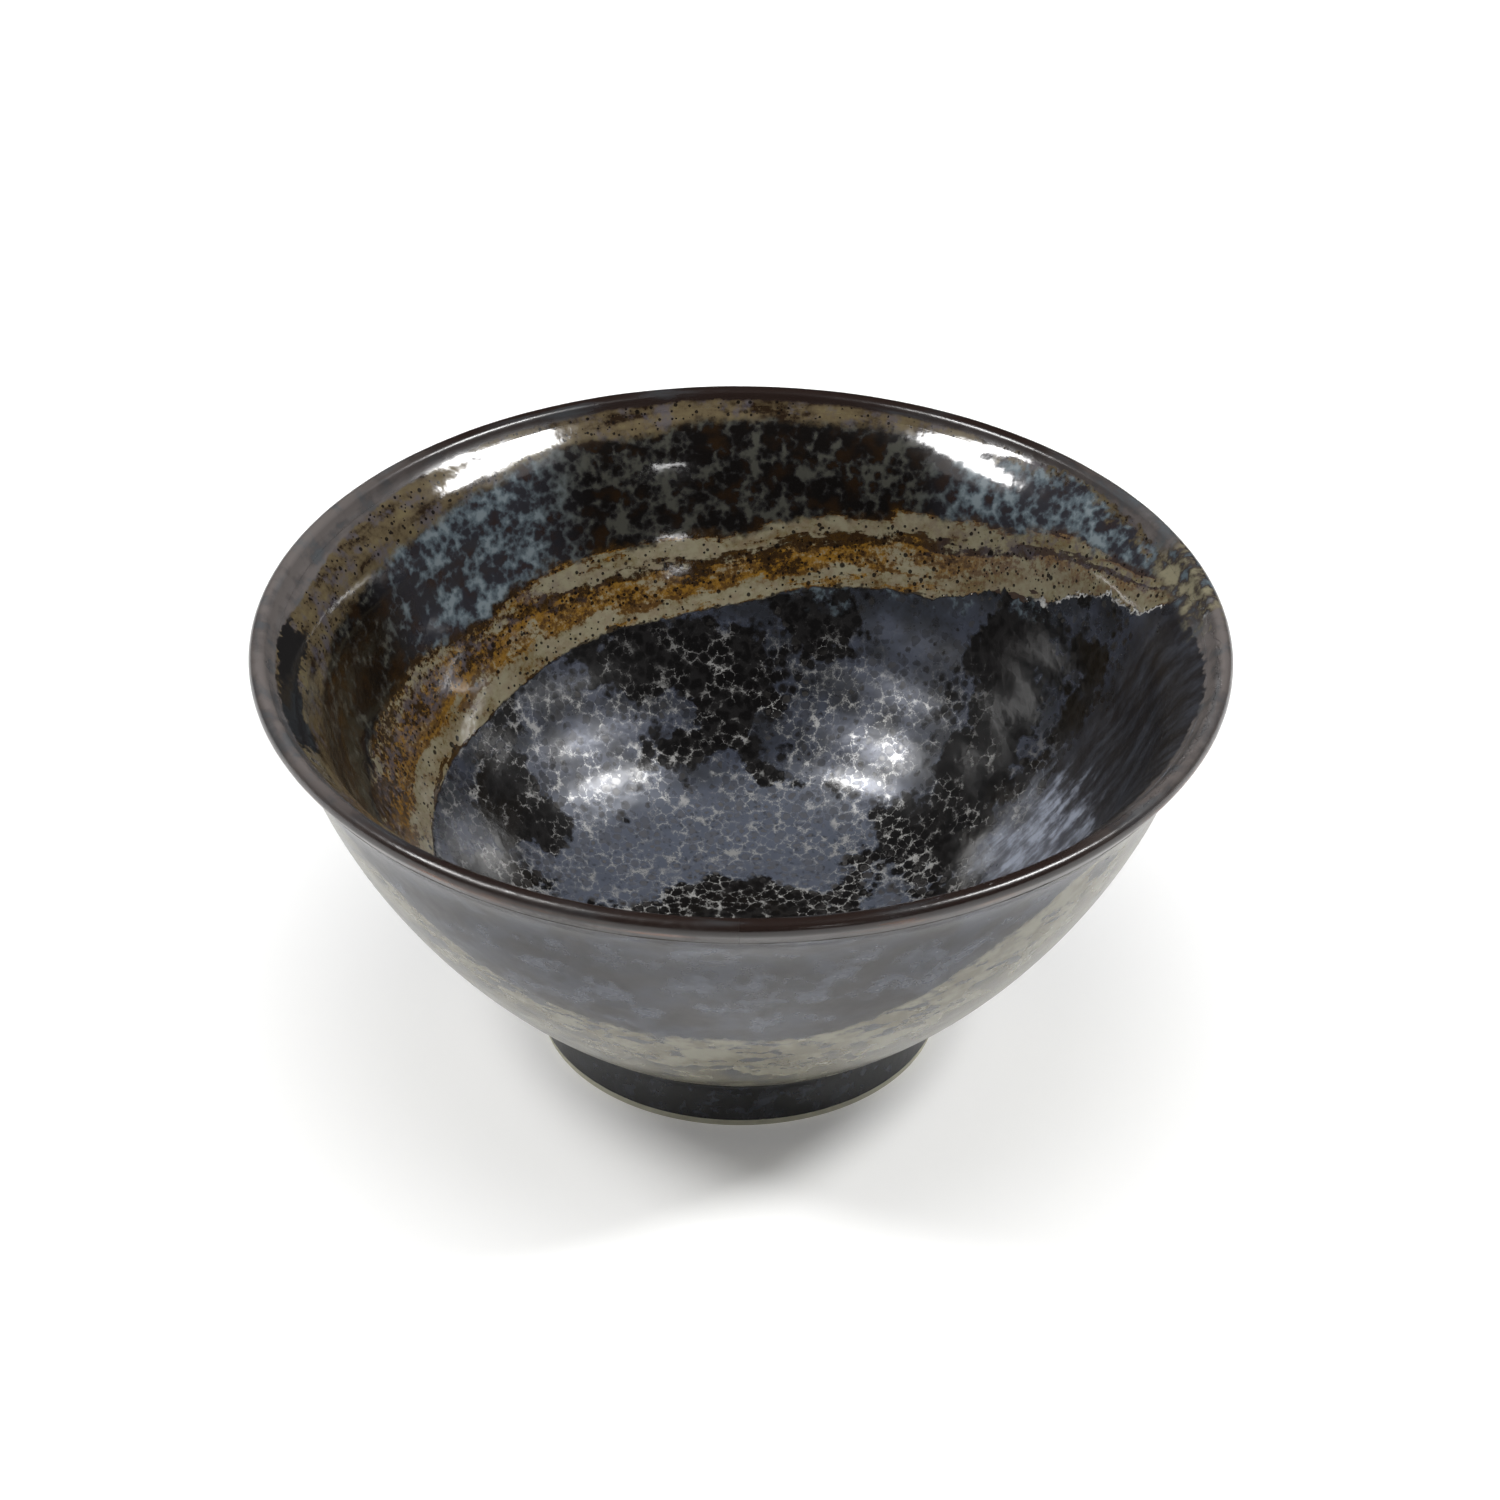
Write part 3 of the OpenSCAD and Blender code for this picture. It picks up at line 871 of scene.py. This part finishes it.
def makeOutsideGlaze():
    b = GlazeBench("outsideGlaze")
    c = glazeColours
    reach = b.reachAttribute()
    turn = b.math("FRACT", b.plus(b.turnAround(), 0.5))
    scale = outsideSwirl["scale"]
    edge = b.times(b.stations(turn, aroundBack(outsideSwirl["patch"], scale)), scale)
    wide = b.minus(b.noise(b.place, 8, 3), 0.5)
    fine = b.minus(b.noise(b.place, 1.6, 3), 0.5)
    wobble = b.plus(b.times(wide, 4.0), b.times(fine, 2.0))
    soft = b.noise(b.place, 5, 4)
    blotch = b.noise(b.streakPlace(reach, 42), 4.2, 4, 0.55)
    shade = b.noise(b.streakPlace(b.plus(reach, 40.0), 42), 6.0, 4, 0.55)
    slate = b.tint(b.rise(shade, 0.38, 0.62), c["outerDusk"], c["outerSlate"])
    slate = b.tint(b.times(b.rise(blotch, 0.46, 0.66), 0.75), slate, c["outerCloud"])
    blots = b.cells(b.noiseShift(b.place, 2, 0.8), 3.0).outputs["Distance"]
    slate = b.tint(b.times(b.fall(blots, 0.20, 0.50), 0.55), slate, c["black"])
    pale = b.tint(b.rise(b.plus(soft, b.times(fine, 0.3)), 0.36, 0.62),
                  c["outerPale"], c["outerOlive"])
    runs = b.noise(b.streakPlace(reach, 26), 1.9, 4, 0.6)
    flecks = b.times(b.rise(runs, 0.50, 0.60), b.rise(soft, 0.34, 0.50))
    pale = b.tint(b.times(flecks, 0.85), pale, c["outerFleck"])
    low = b.rise(b.plus(reach, b.times(wobble, 0.5)), 59.5, 62.0)
    pale = b.tint(b.times(low, 0.6), pale, c["outerTan"])
    inPatch = b.rise(b.minus(edge, b.plus(reach, wobble)), -0.8, 0.8)
    inBack = b.rise(b.plus(b.minus(b.y, outsideSwirl["backFrom"]), b.times(wobble, 1.6)), -1, 1)
    colour = b.tint(b.strongest(inPatch, inBack), pale, slate)
    nearFoot = b.rise(b.plus(reach, b.times(fine, 0.5)), 64.2, 65.2)
    colour = b.tint(nearFoot, colour, c["lipBrown"])
    inLip = b.fall(b.plus(reach, fine), 1.5, 3.0)
    colour = b.tint(inLip, colour, lipBand(b, b.minus(b.times(reach, -1.0), 3.5)))
    roughness = b.plus(0.17, b.times(blotch, 0.16))
    skin = b.times(b.noise(b.place, 2.5, 1), 0.05)
    height = b.plus(skin, b.times(b.noise(b.place, 0.7, 0), 0.004))
    return b.finish(colour, roughness, height, gloss=1.5)


def makeFootGlaze():
    b = GlazeBench("footGlaze")
    c = glazeColours
    soft = b.noise(b.place, 3.5, 5, 0.65)
    colour = b.tint(b.rise(soft, 0.42, 0.62), c["black"], c["slate"])
    fleck = b.noise(b.noiseShift(b.place, 2, 0.8), 1.4, 3)
    colour = b.tint(b.times(b.rise(fleck, 0.54, 0.66), 0.6), colour, c["slateBlue"])
    roughness = b.plus(0.14, b.times(soft, 0.12))
    height = b.times(b.noise(b.place, 2.0, 3), 0.05)
    return b.finish(colour, roughness, height, gloss=1.52)


def makeBareClay():
    b = GlazeBench("bareClay")
    c = glazeColours
    soft = b.noise(b.place, 4, 5, 0.6)
    grit = b.noise(b.place, 0.35, 3, 0.7)
    colour = b.tint(soft, c["clay"], c["clayDeep"])
    colour = b.tint(b.times(b.rise(grit, 0.60, 0.75), 0.5), colour, c["clayGrit"])
    height = b.plus(b.times(grit, 0.06), b.times(soft, 0.05))
    return b.finish(colour, b.plus(0.62, b.times(grit, 0.2)), height)


insideGlaze = makeInsideGlaze()
outsideGlaze = makeOutsideGlaze()
footGlaze = makeFootGlaze()
bareClay = makeBareClay()
print("glazes mixed")

def corners(*places):
    return [np.array(place) for place in places]


lipFrom = bowlForm["lipGlazeFrom"]
coat = bowlForm["coat"]
footForm = {
    "baseRadius": 27.5,
    "innerRadius": 22.6,
    "chamfer": 0.4,
    "wellRise": 0.8,
    "pool": 1.4,
}
insideSettings = {**wheelSettings, "Ring Depth": 0.045 * mm}
footBase = footForm["baseRadius"]
creaseRadius, creaseHeight = bowlForm["crease"]
creaseBack = (creaseRadius - coat, creaseHeight)
lipLineInside = line(innerPoint, 2, lipFrom, 8)
lipLineOutside = line(outerPoint, lipFrom, 2, 8)
lipArc = [lipPoint(a) for a in np.linspace(-bowlForm["lipLean"], 180 - bowlForm["lipLean"], 25)]
lipReach = lineLength(lipArc) + lineLength(lipLineOutside)

innerCoat = turnPiece(
    "innerGlaze",
    (line(innerPoint, lipFrom, floorFrom, 96) + line(floorPoint, 0, 1, 40)[1:],
     line(floorPoint, 1, 0, 8, coat) + line(innerPoint, floorFrom, lipFrom, 14, coat)[1:]
     + [innerPoint(lipFrom)], lineLength(lipLineInside)),
    insideGlaze, insideSettings)
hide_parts("inner_rim_swirl", "inner_upper_glaze", "inner_swirl", "inner_floor_glaze")

lipCoat = turnPiece(
    "lipGlaze",
    (lipLineOutside + lipArc[1:] + lipLineInside[1:],
     [innerPoint(lipFrom, coat), lipPoint(180 - bowlForm["lipLean"], coat),
      lipPoint(90, coat), lipPoint(0, coat), lipPoint(-bowlForm["lipLean"], coat),
      outerPoint(lipFrom, coat), outerPoint(lipFrom)], -lipReach),
    insideGlaze, insideSettings)
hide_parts("lip_glaze")

outerCoat = turnPiece(
    "outerGlaze",
    (line(outerPoint, lipFrom, 0, 70),
     corners(creaseBack) + line(outerPoint, 0, lipFrom, 14, coat) + [outerPoint(lipFrom)],
     lineLength(lipLineOutside)),
    outsideGlaze, wheelSettings)
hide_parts("outer_front_glaze", "outer_swirl", "outer_back_glaze")

footWay = np.array([footBase, footTop]) - crease
poolFoot = crease + footForm["pool"] * footWay / np.linalg.norm(footWay)
poolBody = crease + footForm["pool"] * bezierWay(bellyCurve, 0)
pool = [(1 - t) ** 2 * poolFoot + 2 * t * (1 - t) * crease + t * t * poolBody
        for t in np.linspace(1, 0, 7)]
footShown = pool + [poolFoot * (1 - t) + np.array([footBase, footTop]) * t
                    for t in np.linspace(0, 1, 8)[1:]]
footCoat = turnPiece(
    "footGlaze",
    (footShown, corners((footBase - coat, footTop), creaseBack) + [pool[0]], 0.0),
    footGlaze, {**wheelSettings, "Segments": 360})
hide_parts("foot_glaze")

wellRadius = footForm["innerRadius"]
wellTop = creaseHeight + footForm["wellRise"]
wellFoot = footForm["chamfer"] + footTop
wellWall = wellRadius - coat
wellShown = corners(
    (0.0, wellTop - coat), (wellRadius * 0.5, wellTop - coat - 0.3),
    (wellWall - 2, creaseHeight - coat - 0.02), (wellWall - 0.6, creaseHeight - coat - 0.2),
    (wellWall, creaseHeight - coat - 0.8), (wellWall, wellFoot + 0.3),
    (wellRadius - 0.1, wellFoot))
wellCoat = turnPiece(
    "footWellGlaze",
    (wellShown, corners((wellRadius, wellFoot), (wellRadius, creaseHeight), (0.0, wellTop)), 0.0),
    footGlaze, {**wheelSettings, "Segments": 240})
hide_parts("foot_well_glaze")

chamfer = footForm["chamfer"]
ringShown = corners(
    (wellRadius, creaseHeight), (wellRadius, chamfer + 0.2), (wellRadius + 0.12, chamfer * 0.5),
    (wellRadius + chamfer, 0.04), (wellRadius + chamfer + 0.3, 0.0),
    (footBase - chamfer - 0.3, 0.0), (footBase - chamfer, 0.04), (footBase - 0.14, chamfer * 0.5),
    (footBase - 0.06, chamfer + 0.1), (footBase - 0.05, footTop))
footClay = turnPiece(
    "footRing",
    (ringShown, corners((footBase - coat, footTop), creaseBack, (wellRadius, creaseHeight)), 0.0),
    bareClay, {**wheelSettings, "Segments": 360, "Glaze Ripple": 0.0})
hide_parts("foot_ring")

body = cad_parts["clay_body"]
body.data.materials.clear()
body.data.materials.append(bareClay)

studio = {
    "floorSize": 12.0,
    "paper": (0.90, 0.90, 0.895),
    "paperGlow": (0.16, 0.85),      # light from the paper itself, near the bowl and far away
    "glowFrom": (0.6, 3.0),         # metres from the bowl
    "roomLight": (0.015, 0.048),    # near the table and overhead
    "backdrop": 0.9,                # what the camera sees behind the table
    "cardDistance": 1.2, "cardWidth": 2.62, "cardHeight": 2.3,
    "cardColour": (0.012, 0.012, 0.013),
}


def setUpStudio(setup):
    floorMesh = bpy.data.meshes.new("floor")
    half = setup["floorSize"] / 2
    floorMesh.from_pydata([(-half, -half, 0), (half, -half, 0), (half, half, 0), (-half, half, 0)],
                          [], [(0, 1, 2, 3)])
    floor = bpy.data.objects.new("floor", floorMesh)
    scene.collection.objects.link(floor)
    paper = bpy.data.materials.new("paper")
    paper.use_nodes = True
    shader = paper.node_tree.nodes["Principled BSDF"]
    shader.inputs["Base Color"].default_value = (*setup["paper"], 1)
    shader.inputs["Roughness"].default_value = 0.9
    shader.inputs["Specular IOR Level"].default_value = 0.1
    shader.inputs["Emission Color"].default_value = (1.0, 1.0, 1.0, 1)
    b = NodeBench(paper.node_tree)
    away = b.vector("LENGTH", b.add("ShaderNodeTexCoord").outputs["Object"])
    b.feed(shader.inputs["Emission Strength"],
           b.blend(b.rise(away, *setup["glowFrom"]), *setup["paperGlow"]))
    floorMesh.materials.append(paper)
    # a dark card behind the camera keeps the far wall of the bowl deep
    cardMesh = bpy.data.meshes.new("darkCard")
    wide, high, away = setup["cardWidth"] / 2, setup["cardHeight"], -setup["cardDistance"]
    cardMesh.from_pydata([(-wide, away, 0.001), (wide, away, 0.001), (wide, away, high),
                          (-wide, away, high)], [], [(0, 1, 2, 3)])
    card = bpy.data.objects.new("darkCard", cardMesh)
    scene.collection.objects.link(card)
    felt = bpy.data.materials.new("blackFelt")
    felt.use_nodes = True
    dull = felt.node_tree.nodes["Principled BSDF"].inputs
    dull["Base Color"].default_value = (*setup["cardColour"], 1)
    dull["Roughness"].default_value = 0.95
    cardMesh.materials.append(felt)
    card.visible_camera = False
    # the room is dim near the table and bright overhead
    world = bpy.data.worlds.new("room")
    world.use_nodes = True
    b = NodeBench(world.node_tree)
    sky = b.add("ShaderNodeSeparateXYZ", {0: b.add("ShaderNodeTexCoord").outputs["Generated"]})
    dim, bright = setup["roomLight"]
    room = b.blend(b.rise(sky.outputs["Z"], 0.15, 0.50), dim, bright)
    background = world.node_tree.nodes["Background"]
    background.inputs[0].default_value = (1.0, 1.0, 1.0, 1)
    seen = b.add("ShaderNodeLightPath").outputs["Is Camera Ray"]
    b.feed(background.inputs[1], b.blend(seen, room, setup["backdrop"]))
    scene.world = world


def directionOf(azimuth, elevation):
    return Vector((cos(radians(elevation)) * cos(radians(azimuth)),
                   cos(radians(elevation)) * sin(radians(azimuth)), sin(radians(elevation))))


def softbox(name, low, high, distance, width, radiance):
    # a long soft lamp whose two ends are seen from the bowl at (azimuth, elevation)
    start, end = (directionOf(*place) * distance for place in (low, high))
    length = (end - start).length
    data = bpy.data.lights.new(name, "AREA")
    data.shape = "ELLIPSE"
    data.size, data.size_y = length, width
    data.energy = radiance * np.pi * length * width * np.pi / 4
    light = bpy.data.objects.new(name, data)
    along = (end - start).normalized()
    middle = (start + end) / 2
    back = (middle - along * middle.dot(along)).normalized()
    turn = Matrix((along, back.cross(along), back)).transposed().to_4x4()
    light.matrix_world = Matrix.Translation(middle + Vector((0, 0, rimTop * mm))) @ turn
    scene.collection.objects.link(light)
    return light


lamps = {
    # both ends as (azimuth, elevation) from the bowl, distance and width in metres, radiance
    "glowRight": ((-30, 38), (4, 50), 0.94, 0.34, 1.2),
    "softboxRight": ((3, 40), (-24, 58), 0.90, 0.15, 42),
    "glowLeft": ((-150, 38), (-184, 50), 0.94, 0.34, 1.2),
    "softboxLeft": ((-172, 39), (-158, 62), 0.90, 0.15, 42),
    "smallLamp": ((-74, 22.5), (-66, 22.5), 1.0, 0.02, 26),
    "skylight": ((0, 68), (180, 68), 1.8, 1.3, 3.3),
}
noShine = {"skylight"}  # lifts the paper without a shine on the glaze

setUpStudio(studio)
for lampName, lampSettings in lamps.items():
    softbox(lampName, *lampSettings).visible_glossy = lampName not in noShine
scene.view_settings.view_transform = "Standard"
print("studio ready")
